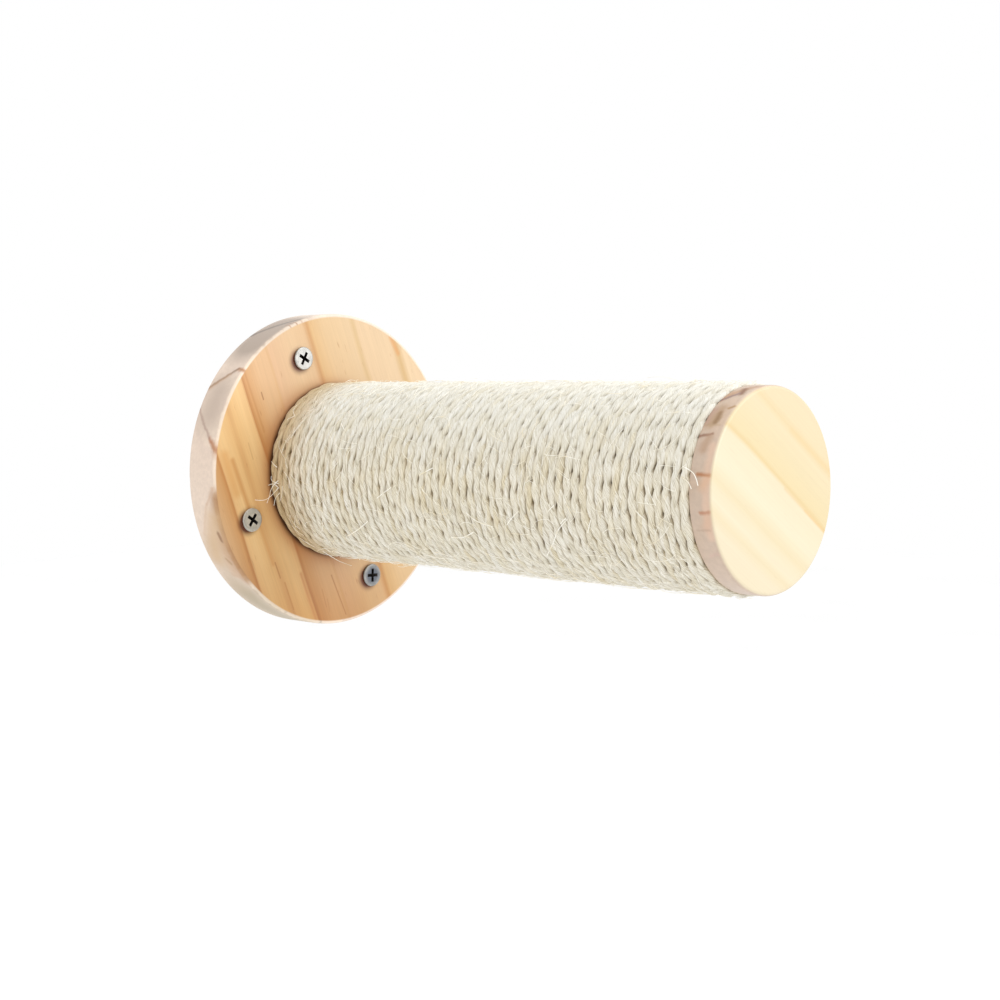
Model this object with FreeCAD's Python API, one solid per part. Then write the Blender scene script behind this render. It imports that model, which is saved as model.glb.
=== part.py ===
import FreeCAD, Part
import math
import os
from FreeCAD import Vector

# A climbing peg for cats: a round pine disc screwed to the wall, a pine core that stands out of it and is
# wound with sisal rope, and a thin pine cap on the free end. The wall is the plane Y = 0, the peg points
# along -Y and Z is up. The origin is the centre of the disc's back. All lengths are in millimetres.

# Peg as a whole
overall_length = 217.0
core_diameter = 61.0

# Wall disc
disc_diameter = 120.0
disc_thickness = 15.0
disc_edge_round = 1.0

# End cap
cap_diameter = 65.0
cap_thickness = 8.0
cap_front_round = 1.2
cap_back_round = 0.5

# Rope: it lies square to the axis and climbs one diameter and one gap per turn, all within a share of a turn
# to either side of climb_middle_deg. There it also starts and ends, in notches. Where two stretches meet, it
# is back on its circle a few diameters on, a count that includes the straight run.
rope_diameter = 2.84
rope_turn_gap = 0.44
rope_core_gap = 0.3
rope_end_gap = 0.2
rope_bend_radius = 3.2
rope_notch_gap = 0.3
rope_rejoin_runs = 4
climb_middle_deg = 5.0
climb_share = 0.2
rope_stretches = ("rope_near_wall", "rope_middle", "rope_near_cap")
samples_per_turn = 60

# Wall screws: their circle lies in the bare ring between the rope and the disc's rim
wall_screw_ring_share = 0.47
wall_screw_first_deg = 21.0
wall_screw_recess_degs = (35.0, 61.0, 55.0, 87.0)
wall_screw_proud = 1.0
wall_screw_head_diameter = 8.8
wall_screw_head_land = 0.6
wall_screw_head_round = 0.4
wall_screw_shank_diameter = 3.3
wall_screw_thread_diameter = 4.5
wall_screw_thread_length = 15.0
wall_screw_tip_length = 4.0

# Core screws: driven from the disc's back into the core, with the heads just under the surface
core_screw_circle_share = 0.6
core_screw_first_deg = 90.0
core_screw_recess_degs = (12.0, 48.0, 75.0)
core_screw_sunk = 0.5
core_screw_head_diameter = 9.6
core_screw_head_land = 0.6
core_screw_head_round = 0.4
core_screw_shank_diameter = 3.6
core_screw_thread_diameter = 5.0
core_screw_thread_length = 40.0
core_screw_tip_length = 5.0

# Cross recess in every screw head, as shares of the head's diameter, and of the recess's top at its foot
recess_span_share = 0.53
recess_width_share = 0.125
recess_depth_share = 0.25
recess_foot_share = 0.45

# Dowels that carry the cap
dowel_circle_share = 0.55
dowel_degs = (0.0, 180.0)
dowel_diameter = 6.0
dowel_in_cap = 5.0
dowel_in_core = 15.0
dowel_end_bevel = 0.8

# Clearances, and how far a cutter runs past the face it cuts
screw_hole_gap = 0.25
screw_seat_gap = 0.1
pilot_gap = 0.1
pilot_end_gap = 1.0
dowel_gap = 0.1
dowel_end_gap = 0.3
overrun = 1.0

FULL_TURN = 360.0
HALF_TURN = 180.0
RIGHT_ANGLE = 90.0
ORIGIN = Vector(0, 0, 0)
INTO_WALL = Vector(0, 1, 0)
OUT = Vector(0, -1, 0)

# Sizes worked out from the ones above
disc_radius = disc_diameter / 2
cap_radius = cap_diameter / 2
core_radius = core_diameter / 2
core_length = overall_length - disc_thickness - cap_thickness
core_end = disc_thickness + core_length
rope_radius = rope_diameter / 2
wound_radius = core_radius + rope_core_gap + rope_radius
wrap_radius = wound_radius + rope_radius
rope_first = disc_thickness + rope_end_gap + rope_radius
rope_last = core_end - rope_end_gap - rope_radius
rope_climbs = int((rope_last - rope_first) / (rope_diameter + rope_turn_gap))
rope_pitch = (rope_last - rope_first) / rope_climbs
rope_passes = rope_climbs + 1
rope_start_deg = climb_middle_deg + FULL_TURN * climb_share
rope_end_deg = climb_middle_deg - FULL_TURN * climb_share
wall_screw_circle = wrap_radius + wall_screw_ring_share * (disc_radius - wrap_radius)
core_screw_circle = core_screw_circle_share * core_radius
dowel_circle = dowel_circle_share * core_radius


def polar(radius, angle_deg, distance):
    """Point at a radius and angle round the peg's axis, at a distance out from the wall."""
    angle = math.radians(angle_deg)
    return Vector(radius * math.cos(angle), -distance, radius * math.sin(angle))


def revolved(points):
    """Solid of revolution about the Y axis from (radius, y) corners."""
    corners = [Vector(radius, y, 0) for radius, y in points]
    outline = Part.makePolygon(corners + corners[:1])
    return Part.Face(outline).revolve(ORIGIN, INTO_WALL, FULL_TURN)


def round_rim(solid, rim_radius, rim_y, round_radius):
    """The solid with its circular edge of that radius and place rounded."""
    rims = []
    for edge in solid.Edges:
        circle = edge.Curve
        if not isinstance(circle, Part.Circle):
            continue
        at_place = math.isclose(circle.Center.y, rim_y, abs_tol=1e-6)
        if at_place and math.isclose(circle.Radius, rim_radius, abs_tol=1e-6):
            rims.append(edge)
    return solid.makeFillet(round_radius, rims)


def round_board(radius, near, far, near_round, far_round):
    """A round board between two distances from the wall, with both rims rounded."""
    board = Part.makeCylinder(radius, far - near, Vector(0, -near, 0), OUT)
    board = round_rim(board, radius, -near, near_round)
    return round_rim(board, radius, -far, far_round)


def ring_places(circle, first_deg, count, distance):
    """Evenly spaced points on a circle round the peg's axis."""
    return [polar(circle, first_deg + FULL_TURN * i / count, distance) for i in range(count)]


# Screws: drawn along +Y from the middle of the head's top


def cross_recess(head_diameter):
    """Two crossed wings that narrow with depth, as deep as the driver's point."""
    half_span = recess_span_share * head_diameter / 2
    half_width = recess_width_share * head_diameter / 2
    depth = recess_depth_share * head_diameter
    foot_span = recess_foot_share * half_span
    foot_width = recess_foot_share * half_width
    near = (-half_span, 0, -half_width, -foot_width, -foot_span)
    far = (half_span, depth, half_width, foot_width, foot_span)
    wing = Part.makeWedge(*near, *far)
    crossing = wing.copy()
    crossing.rotate(ORIGIN, INTO_WALL, RIGHT_ANGLE)
    return wing.fuse(crossing)


def screw(
    head_diameter, land, rim_round, shank_diameter, plain_end, thread_diameter, thread_length, tip_length
):
    """Countersunk screw whose thread starts at plain_end, measured from the head's top."""
    head = head_diameter / 2
    shank = shank_diameter / 2
    thread = thread_diameter / 2
    thread_end = plain_end + thread_length
    body = revolved([
        (0, 0),
        (head, 0),
        (head, land),
        (shank, land + head - shank),
        (shank, plain_end),
        (thread, plain_end),
        (thread, thread_end),
        (0, thread_end + tip_length),
    ])
    body = round_rim(body, head, 0, rim_round)
    return body.cut(cross_recess(head_diameter))


def countersunk_hole(head_diameter, land, proud, thread_diameter, depth):
    """Cutter for such a screw, drawn along +Y from the face; proud is negative for a sunk head."""
    hole = thread_diameter / 2 + screw_hole_gap
    mouth = head_diameter / 2 + land - proud + screw_seat_gap * math.sqrt(2)
    return revolved([
        (0, -overrun),
        (mouth + overrun, -overrun),
        (hole, mouth - hole),
        (hole, depth + overrun),
        (0, depth + overrun),
    ])


def placed(shape, place, turn_deg=0.0, outward=False):
    """A copy at a place, first turned about its own axis and, if outward, pointed along -Y."""
    copy = shape.copy()
    copy.rotate(ORIGIN, INTO_WALL, turn_deg)
    if outward:
        copy.rotate(ORIGIN, Vector(1, 0, 0), HALF_TURN)
    copy.translate(place)
    return copy


wall_screw_count = len(wall_screw_recess_degs)
wall_screw_heads = ring_places(
    wall_screw_circle, wall_screw_first_deg, wall_screw_count, disc_thickness + wall_screw_proud
)
wall_screw_mouths = ring_places(wall_screw_circle, wall_screw_first_deg, wall_screw_count, disc_thickness)
core_screw_count = len(core_screw_recess_degs)
core_screw_heads = ring_places(core_screw_circle, core_screw_first_deg, core_screw_count, core_screw_sunk)
core_screw_mouths = ring_places(core_screw_circle, core_screw_first_deg, core_screw_count, 0)
core_screw_entries = ring_places(core_screw_circle, core_screw_first_deg, core_screw_count, disc_thickness)


def make_wall_screws():
    """Four screws that hold the disc to the wall, their threads standing out behind it."""
    one = screw(
        wall_screw_head_diameter,
        wall_screw_head_land,
        wall_screw_head_round,
        wall_screw_shank_diameter,
        wall_screw_proud + disc_thickness,
        wall_screw_thread_diameter,
        wall_screw_thread_length,
        wall_screw_tip_length,
    )
    pairs = zip(wall_screw_heads, wall_screw_recess_degs)
    return Part.makeCompound([placed(one, place, -turn) for place, turn in pairs])


def make_core_screws():
    """Three screws through the disc's back that hold the core."""
    one = screw(
        core_screw_head_diameter,
        core_screw_head_land,
        core_screw_head_round,
        core_screw_shank_diameter,
        disc_thickness - core_screw_sunk,
        core_screw_thread_diameter,
        core_screw_thread_length,
        core_screw_tip_length,
    )
    pairs = zip(core_screw_heads, core_screw_recess_degs)
    return Part.makeCompound([placed(one, place, turn, outward=True) for place, turn in pairs])


# Wooden pieces


def make_wall_disc():
    """Round board against the wall, drilled from the front for the wall and from the back for the core."""
    disc = round_board(disc_radius, 0, disc_thickness, disc_edge_round, disc_edge_round)
    wall_hole = countersunk_hole(
        wall_screw_head_diameter,
        wall_screw_head_land,
        wall_screw_proud,
        wall_screw_thread_diameter,
        disc_thickness,
    )
    core_hole = countersunk_hole(
        core_screw_head_diameter,
        core_screw_head_land,
        -core_screw_sunk,
        core_screw_thread_diameter,
        disc_thickness,
    )
    cutters = [placed(wall_hole, place) for place in wall_screw_mouths]
    cutters += [placed(core_hole, place, outward=True) for place in core_screw_mouths]
    return disc.cut(cutters)


def rope_notch(at_wall):
    """Cutter at angle zero for the notch in the core's end that holds a rope end and its bend."""
    side = rope_radius + rope_notch_gap
    bend = rope_bend_radius + rope_notch_gap
    floor = notch_floor_radius - rope_notch_gap
    height = core_radius + overrun - floor
    depth = rope_end_gap + rope_diameter + rope_notch_gap + overrun
    near = disc_thickness - overrun if at_wall else core_end + overrun - depth
    low = -side if at_wall else -bend
    return Part.makeBox(height, depth, side + bend, Vector(floor, -near - depth, low))


def make_post_core():
    """Solid dowel between disc and cap, with pilot holes, dowel holes and a notch for each rope end."""
    core = Part.makeCylinder(core_radius, core_length, Vector(0, -disc_thickness, 0), OUT)
    pilot_radius = core_screw_thread_diameter / 2 + pilot_gap
    pilot_length = core_screw_thread_length + core_screw_tip_length + pilot_end_gap
    hole_radius = dowel_diameter / 2 + dowel_gap
    hole_length = dowel_in_core + dowel_end_gap
    notch_degs = {True: rope_start_deg - notch_lead_deg, False: rope_end_deg + notch_lead_deg}
    cutters = []
    for place in core_screw_entries:
        entry = place + INTO_WALL * overrun
        cutters.append(Part.makeCylinder(pilot_radius, pilot_length + overrun, entry, OUT))
    for angle_deg in dowel_degs:
        place = polar(dowel_circle, angle_deg, core_end + overrun)
        cutters.append(Part.makeCylinder(hole_radius, hole_length + overrun, place, INTO_WALL))
    for at_wall, angle_deg in notch_degs.items():
        notch = rope_notch(at_wall)
        notch.rotate(ORIGIN, OUT, angle_deg)
        cutters.append(notch)
    return core.cut(cutters)


def make_end_cap():
    """Thin round board on the core's free end, with blind holes for its dowels."""
    cap = round_board(cap_radius, core_end, core_end + cap_thickness, cap_back_round, cap_front_round)
    hole_radius = dowel_diameter / 2 + dowel_gap
    hole_length = dowel_in_cap + dowel_end_gap
    cutters = []
    for angle_deg in dowel_degs:
        place = polar(dowel_circle, angle_deg, core_end - overrun)
        cutters.append(Part.makeCylinder(hole_radius, hole_length + overrun, place, OUT))
    return cap.cut(cutters)


def make_cap_dowels():
    """Plain glued dowels between core and cap."""
    radius = dowel_diameter / 2
    length = dowel_in_core + dowel_in_cap
    one = revolved([
        (0, 0),
        (radius - dowel_end_bevel, 0),
        (radius, dowel_end_bevel),
        (radius, length - dowel_end_bevel),
        (radius - dowel_end_bevel, length),
        (0, length),
    ])
    places = [polar(dowel_circle, angle_deg, core_end + dowel_in_cap) for angle_deg in dowel_degs]
    return Part.makeCompound([placed(one, place) for place in places])


# Rope: one winding, drawn in three stretches that meet face to face on the side turned from view

# A bend between the winding and a straight run that points at the peg's axis
bend_centre_radius = wound_radius - rope_bend_radius
notch_lead_deg = math.degrees(math.asin(rope_bend_radius / bend_centre_radius))
run_outer_radius = bend_centre_radius * math.cos(math.radians(notch_lead_deg))
notch_floor_radius = run_outer_radius - rope_diameter
rejoin_turn_share = rope_rejoin_runs * rope_diameter / (2 * math.pi * wound_radius)


def climbed(turn):
    """Pitches climbed, and pitches per turn, after turns counted from the middle of the climbing side."""
    middle = round(turn)
    off = turn - middle
    if abs(off) >= climb_share:
        return math.floor(turn), 0
    level = middle - 0.5 + off / climb_share - off * abs(off) / (2 * climb_share**2)
    return level, (1 - abs(off) / climb_share) / climb_share


def knot(turn):
    """Point and direction of the winding after that many turns."""
    angle_deg = climb_middle_deg + FULL_TURN * turn
    angle = math.radians(angle_deg)
    level, slope = climbed(turn)
    rise = rope_pitch * slope / (2 * math.pi)
    direction = Vector(-wound_radius * math.sin(angle), -rise, wound_radius * math.cos(angle))
    return polar(wound_radius, angle_deg, rope_first + rope_pitch * level), direction.normalize()


def arc_between(start, corner, end):
    """Arc from start to end whose tangents there meet at the corner."""
    middle = (start + end) * 0.5
    cosine = (end - start).Length / (2 * (corner - start).Length)
    return Part.Arc(start, middle + (corner - middle) * (cosine / (1 + cosine)), end).toShape()


def biarc(start, start_direction, end, end_direction):
    """Two arcs, tangent to each other, from one point and direction to another."""
    chord = end - start
    square = 2 * start_direction.dot(end_direction) - 2
    slope = chord.dot(start_direction + end_direction)
    reach = (slope - math.sqrt(slope * slope - square * chord.dot(chord))) / square
    first_corner = start + start_direction * reach
    second_corner = end - end_direction * reach
    joint = (first_corner + second_corner) * 0.5
    return [arc_between(start, first_corner, joint), arc_between(joint, second_corner, end)]


def notch_run(point, at_wall):
    """Edges between the winding's end and the foot of its notch, from foot to winding."""
    end_deg = rope_start_deg if at_wall else rope_end_deg
    notch_deg = end_deg - notch_lead_deg if at_wall else end_deg + notch_lead_deg
    distance = -point.y
    foot = polar(notch_floor_radius, notch_deg, distance)
    top = polar(run_outer_radius, notch_deg, distance)
    centre = polar(bend_centre_radius, end_deg, distance)
    outward = (top - centre + point - centre).normalize()
    bend = Part.Arc(top, centre + outward * rope_bend_radius, point).toShape()
    return [Part.LineSegment(foot, top).toShape(), bend]


def stretch_path(first_pass, last_pass):
    """Unbroken path of one stretch: straight or notched ends, and biarcs of about a quarter turn between."""
    shares = (0, climb_share, 0.5, 1 - climb_share)
    turns = [i + share for i in range(first_pass, last_pass) for share in shares] + [last_pass]
    if first_pass == 0:
        turns = turns[1:]
    if last_pass == rope_passes:
        turns = turns[:-1]
    knots = [knot(turn) for turn in turns]
    start, start_direction = knots[0]
    end, end_direction = knots[-1]
    if first_pass == 0:
        head = notch_run(start, at_wall=True)
    else:
        run_end = start + start_direction * rope_diameter
        knots[:1] = [(run_end, start_direction), knot(first_pass + rejoin_turn_share)]
        head = [Part.LineSegment(start, run_end).toShape()]
    if last_pass == rope_passes:
        tail = notch_run(end, at_wall=False)[::-1]
    else:
        run_end = end - end_direction * rope_diameter
        knots[-1:] = [knot(last_pass - rejoin_turn_share), (run_end, end_direction)]
        tail = [Part.LineSegment(run_end, end).toShape()]
    arcs = []
    for before, after in zip(knots, knots[1:]):
        arcs += biarc(*before, *after)
    return Part.Wire(head + arcs + tail)


def rope_tube(path):
    """The rope's round section carried along a path."""
    edge = path.OrderedEdges[0]
    start = edge.valueAt(edge.FirstParameter)
    section = Part.Wire(Part.makeCircle(rope_radius, start, edge.tangentAt(edge.FirstParameter)))
    return path.makePipeShell([section], True, False)


def distance_to_run(point, start, end):
    """Distance from a point to the straight run between two others."""
    run = end - start
    share = max(0, min(1, (point - start).dot(run) / run.dot(run)))
    return (point - start - run * share).Length


def least_gap(points):
    """Least clear gap between the rope and itself, half a turn or more along from each point."""
    half = samples_per_turn // 2
    nearest = wrap_radius
    for i, point in enumerate(points):
        for j in range(i + half, min(i + 3 * half, len(points) - 1)):
            nearest = min(nearest, distance_to_run(point, points[j], points[j + 1]))
    return nearest - rope_diameter


def make_rope():
    """Tubes of the three stretches, which share the turns as evenly as whole turns allow."""
    whole, spare = divmod(rope_passes, len(rope_stretches))
    tubes = {}
    points = []
    first_pass = 0
    for i, name in enumerate(rope_stretches):
        passes = whole + (1 if i < spare else 0)
        path = stretch_path(first_pass, first_pass + passes)
        points = points[:-1] + path.discretize(Number=passes * samples_per_turn)
        tubes[name] = rope_tube(path)
        volume_share = tubes[name].Volume / (math.pi * rope_radius**2 * path.Length)
        print(f"{name}: {passes} turns, {path.Length:.0f} mm long")
        print(f"{name}: volume over section times length {volume_share:.4f}")
        first_pass += passes
    print(f"winding: {rope_passes} turns, pitch {rope_pitch:.3f} mm")
    print(f"winding: least gap to itself {least_gap(points):.3f} mm")
    return tubes


def main():
    nodes = {
        "wall_disc": make_wall_disc(),
        "post_core": make_post_core(),
        "end_cap": make_end_cap(),
        "wall_screws": make_wall_screws(),
        "core_screws": make_core_screws(),
        "cap_dowels": make_cap_dowels(),
    }
    nodes.update(make_rope())
    os.makedirs("parts", exist_ok=True)
    for name, shape in nodes.items():
        shape.exportStep(f"parts/{name}.step")


main()
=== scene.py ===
import math
import random

import bmesh
import bpy
import numpy as np
from mathutils import Matrix, Vector


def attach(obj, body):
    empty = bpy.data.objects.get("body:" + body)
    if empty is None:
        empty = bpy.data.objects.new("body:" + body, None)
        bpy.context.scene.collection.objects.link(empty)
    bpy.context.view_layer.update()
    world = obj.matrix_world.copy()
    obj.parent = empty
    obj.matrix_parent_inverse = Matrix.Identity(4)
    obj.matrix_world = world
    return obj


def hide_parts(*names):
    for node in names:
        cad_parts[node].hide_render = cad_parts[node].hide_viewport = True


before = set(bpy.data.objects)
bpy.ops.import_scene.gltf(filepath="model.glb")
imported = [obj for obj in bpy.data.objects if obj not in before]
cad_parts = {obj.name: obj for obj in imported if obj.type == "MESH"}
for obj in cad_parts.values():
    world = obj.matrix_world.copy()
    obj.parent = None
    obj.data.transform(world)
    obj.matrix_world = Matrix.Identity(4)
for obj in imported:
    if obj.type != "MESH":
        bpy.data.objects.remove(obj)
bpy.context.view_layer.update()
MM = 0.001

# Wall disc: a round pine board that is screwed flat to the wall and carries the peg. It is turned from a
# board with the pith close under its front, so the year rings show as long lines and close to arches on the
# rim. The front is clear coated, and the rim is bare, sanded and greyer.


def linear(colour, alpha=1.0):
    """Linear colour for Blender from an sRGB hex value."""
    parts = [int(colour[i:i + 2], 16) / 255 for i in (0, 2, 4)]
    return [p / 12.92 if p <= 0.04045 else ((p + 0.055) / 1.055) ** 2.4 for p in parts] + [alpha]


def node(tree, kind, inputs=None, stops=None, **settings):
    """Adds a node. An input that is another node's socket is linked, any other is set."""
    made = tree.nodes.new("ShaderNode" + kind)
    for name, value in settings.items():
        setattr(made, name, value)
    for name, value in (inputs or {}).items():
        if isinstance(value, bpy.types.NodeSocket):
            tree.links.new(value, made.inputs[name])
        else:
            made.inputs[name].default_value = value
    for i, (place, colour) in enumerate(stops or []):
        element = made.color_ramp.elements[i] if i < 2 else made.color_ramp.elements.new(place)
        element.position = place
        element.color = linear(colour)
    return made


def blank(name, **sockets):
    """A new material with its node tree and its shader, whose plain sockets are set."""
    made = bpy.data.materials.new(name)
    made.use_nodes = True
    shader = made.node_tree.nodes["Principled BSDF"]
    for socket, value in sockets.items():
        shader.inputs[socket.replace("_", " ").title().replace("Ior", "IOR")].default_value = value
    return made, made.node_tree, shader


def dress(name, finish):
    """Gives a CAD node its finish."""
    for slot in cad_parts[name].material_slots:
        slot.material = finish


def pine(name, turn, pith, rings, drift_mm, roughness, flecks, streaks):
    """Pine: darker late wood in year rings round a pith line, with fine fibre streaks along the grain.

    After the turn, X runs across the grain, Y through it and Z along it, in millimetres from the pith.
    """
    finish, tree, shader = blank(name, ior=1.5, roughness=roughness)
    place = node(tree, "TexCoord").outputs["Object"]
    across, through = pith
    grain = node(tree, "Mapping", {
        "Vector": place, "Scale": (1 / MM,) * 3, "Rotation": turn, "Location": (-across, -through, 0),
    }).outputs["Vector"]
    # The rings wander by a few millimetres over a length of some 70 mm
    slow = node(tree, "VectorMath", {0: grain, 1: (1 / 22, 1 / 22, 1 / 70)}, operation="MULTIPLY").outputs[0]
    wander = node(tree, "TexNoise", {"Vector": slow, "Scale": 1.0, "Detail": 2.0}).outputs["Color"]
    centred = node(tree, "VectorMath", {0: wander, 1: (0.5,) * 3}, operation="SUBTRACT").outputs[0]
    reach = (drift_mm, drift_mm, 0)
    shift = node(tree, "VectorMath", {0: centred, 1: reach}, operation="MULTIPLY").outputs[0]
    moved = node(tree, "VectorMath", {0: grain, 1: shift}, operation="ADD").outputs[0]
    flat = node(tree, "VectorMath", {0: moved, 1: (1, 1, 0)}, operation="MULTIPLY").outputs[0]
    ring = node(tree, "VectorMath", {0: flat}, operation="LENGTH").outputs["Value"]
    span = rings[-1][0]
    share = node(tree, "Math", {0: ring, 1: span}, operation="DIVIDE").outputs[0]
    stops = [(radius / span, colour) for radius, colour in rings]
    tone = node(tree, "ValToRGB", {"Fac": share}, stops=stops).outputs["Color"]
    # Fibre streaks of about 0.6 mm by 30 mm
    fine = node(tree, "VectorMath", {
        0: moved, 1: (1 / 0.6, 1 / 0.6, 1 / 30),
    }, operation="MULTIPLY").outputs[0]
    streak = node(tree, "TexNoise", {"Vector": fine, "Scale": 1.0, "Detail": 3.0}).outputs["Fac"]
    shade = node(tree, "MapRange", {
        "Value": streak, "From Min": 0.3, "From Max": 0.7, "To Min": 1 - streaks, "To Max": 1 + 0.7 * streaks,
    })
    colour = node(tree, "Mix", {
        "Factor": 1.0, "A": tone, "B": shade.outputs["Result"],
    }, data_type="RGBA", blend_type="MULTIPLY").outputs["Result"]
    # Resin canals show as short dark flecks of about 0.4 mm by 4 mm
    dash = node(tree, "VectorMath", {0: moved, 1: (1 / 0.8, 1 / 0.8, 1 / 6)}, operation="MULTIPLY").outputs[0]
    canal = node(tree, "TexNoise", {"Vector": dash, "Scale": 1.0, "Detail": 1.0}).outputs["Fac"]
    fleck = node(tree, "MapRange", {"Value": canal, "From Min": 0.71, "From Max": 0.79, "To Max": flecks})
    colour = node(tree, "Mix", {
        "Factor": fleck.outputs["Result"], "A": colour, "B": linear("a06c3c"),
    }, data_type="RGBA").outputs["Result"]
    relief = node(tree, "Bump", {"Height": streak, "Strength": 0.25, "Distance": 0.05 * MM})
    tree.links.new(relief.outputs["Normal"], shader.inputs["Normal"])
    tree.links.new(colour, shader.inputs["Base Color"])
    return finish, tree, shader, colour


DOT_LENGTH = 0.01


def drawn(tree, colour, spot, marks):
    """Draws marks on a colour: start, end and half width in millimetres, strength and colour of each.

    A dot is a mark that ends where it starts.
    """
    for start, end, width, strength, tint in marks:
        run = Vector((end[0] - start[0], end[1] - start[1], 0))
        if run.length == 0:
            run.x = DOT_LENGTH
        off = node(tree, "VectorMath", {0: spot, 1: (*start, 0)}, operation="SUBTRACT").outputs[0]
        reach = node(tree, "VectorMath", {0: off, 1: run / run.length_squared}, operation="DOT_PRODUCT")
        held = node(tree, "Clamp", {"Value": reach.outputs["Value"]}).outputs[0]
        foot = node(tree, "VectorMath", {0: run, "Scale": held}, operation="SCALE").outputs[0]
        gap = node(tree, "VectorMath", {0: off, 1: foot}, operation="DISTANCE").outputs["Value"]
        mask = node(tree, "MapRange", {
            "Value": gap, "From Min": width, "From Max": 0.0, "To Max": strength,
        }, interpolation_type="SMOOTHSTEP").outputs["Result"]
        colour = node(tree, "Mix", {
            "Factor": mask, "A": colour, "B": linear(tint),
        }, data_type="RGBA").outputs["Result"]
    return colour


def rimmed(tree, sized, axes, radius, edge, face, wood, bare, share, marks):
    """The colour of a board: its face, and on its rim bare wood with marks.

    Marks on the rim lie at millimetres round it, from the left upwards, and at Y.
    """
    left = node(tree, "Math", {0: axes["X"], 1: -1.0}, operation="MULTIPLY").outputs[0]
    angle = node(tree, "Math", {0: axes["Z"], 1: left}, operation="ARCTAN2").outputs[0]
    arc = node(tree, "Math", {0: angle, 1: radius}, operation="MULTIPLY").outputs[0]
    rim_place = node(tree, "CombineXYZ", {"X": arc, "Y": axes["Y"]}).outputs["Vector"]
    ripple = node(tree, "TexNoise", {"Vector": sized, "Scale": 0.35, "Detail": 2.0})
    sway = node(tree, "VectorMath", {
        0: ripple.outputs["Color"], 1: (0.5,) * 3,
    }, operation="SUBTRACT").outputs[0]
    spot = node(tree, "VectorMath", {
        0: sway, 1: (1.6, 1.6, 0), 2: rim_place,
    }, operation="MULTIPLY_ADD").outputs[0]
    bared = node(tree, "Mix", {
        "Factor": share, "A": wood, "B": linear(bare),
    }, data_type="RGBA").outputs["Result"]
    # Pores and dust mottle the bare wood in patches of a few millimetres
    pores = node(tree, "TexNoise", {
        "Vector": sized, "Scale": 0.6, "Detail": 4.0, "Roughness": 0.65,
    }).outputs["Fac"]
    mottle = node(tree, "MapRange", {
        "Value": pores, "From Min": 0.3, "From Max": 0.7, "To Min": 0.92, "To Max": 1.05,
    })
    bared = node(tree, "Mix", {
        "Factor": 1.0, "A": bared, "B": mottle.outputs["Result"],
    }, data_type="RGBA", blend_type="MULTIPLY").outputs["Result"]
    rim = drawn(tree, bared, spot, marks)
    outward = node(tree, "VectorMath", {0: sized, 1: (1, 0, 1)}, operation="MULTIPLY").outputs[0]
    away = node(tree, "VectorMath", {0: outward}, operation="LENGTH").outputs["Value"]
    on_rim = node(tree, "MapRange", {
        "Value": away, "From Min": edge, "From Max": edge + 0.5,
    }).outputs["Result"]
    return node(tree, "Mix", {"Factor": on_rim, "A": face, "B": rim}, data_type="RGBA").outputs["Result"]


def surveyed(tree):
    """Object coordinates in millimetres: the place, its axes, and X and Z as seen from the front."""
    place = node(tree, "TexCoord").outputs["Object"]
    sized = node(tree, "VectorMath", {0: place, "Scale": 1 / MM}, operation="SCALE").outputs[0]
    axes = node(tree, "SeparateXYZ", {"Vector": sized}).outputs
    facing = node(tree, "CombineXYZ", {"X": axes["X"], "Y": axes["Z"]}).outputs["Vector"]
    return sized, axes, facing


# Millimetres from the pith line, and the colour there
disc_rings = [
    (0, "d6aa71"), (2.2, "bd854d"), (3.4, "d7ad74"), (7, "ddb780"), (10.5, "d8ae77"), (11.2, "b57c46"),
    (12.5, "c4925c"), (19, "cea67a"), (24.6, "cda67b"), (25.2, "c89f70"), (26.2, "cca57e"), (38, "cead84"),
    (45, "cca97f"), (47.5, "bb8a52"), (49, "caa470"), (55, "ceae82"), (68, "cfb28a"), (70, "c6a778"),
    (72, "d1b48e"), (85, "d1b590"), (88, "c2a06c"), (91, "d4b994"), (110, "d1b390"),
]
DISC_RADIUS = 60.0
DISC_GRAIN_DEG = 20.5
disc_pine, tree, shader, colour = pine(
    "clear coated pine board", turn=(0, math.radians(DISC_GRAIN_DEG), 0), pith=(-41, -12), rings=disc_rings,
    drift_mm=3.0, roughness=0.42, flecks=0.4, streaks=0.045,
)
sized, axes, facing = surveyed(tree)
# The heart side is redder and darker towards the lower edge, and less so on the right: partly the wood's own
# tone and partly painted shade under the post
most = node(tree, "MapRange", {
    "Value": axes["X"], "From Min": 12.0, "From Max": 30.0, "To Min": 1.0, "To Max": 0.45,
}).outputs["Result"]
low = node(tree, "MapRange", {
    "Value": axes["Z"], "From Min": -20.0, "From Max": -62.0, "To Max": most,
}, interpolation_type="SMOOTHSTEP").outputs["Result"]
redder_and_shaded = node(tree, "Mix", {
    "Factor": 1.0, "A": colour, "B": linear("dfcdaf"),
}, data_type="RGBA", blend_type="MULTIPLY").outputs["Result"]
colour = node(tree, "Mix", {"Factor": low, "A": colour, "B": redder_and_shaded}, data_type="RGBA").outputs["Result"]
SCREW_CIRCLE = 46.03
SCREW_START_DEG = 21
SCREWS = 4
# A painted shadow darkens the wood at the lower left of each wall screw's head
HEAD_SHADOW_OFF = (-1.6, -0.8)
face_marks = []
for i in range(SCREWS):
    round_disc = math.radians(SCREW_START_DEG + 360 / SCREWS * i)
    head_shadow = (
        SCREW_CIRCLE * math.cos(round_disc) + HEAD_SHADOW_OFF[0],
        SCREW_CIRCLE * math.sin(round_disc) + HEAD_SHADOW_OFF[1],
    )
    face_marks.append((head_shadow, head_shadow, 6.2, 2.4, "5c2c0f"))
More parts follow.
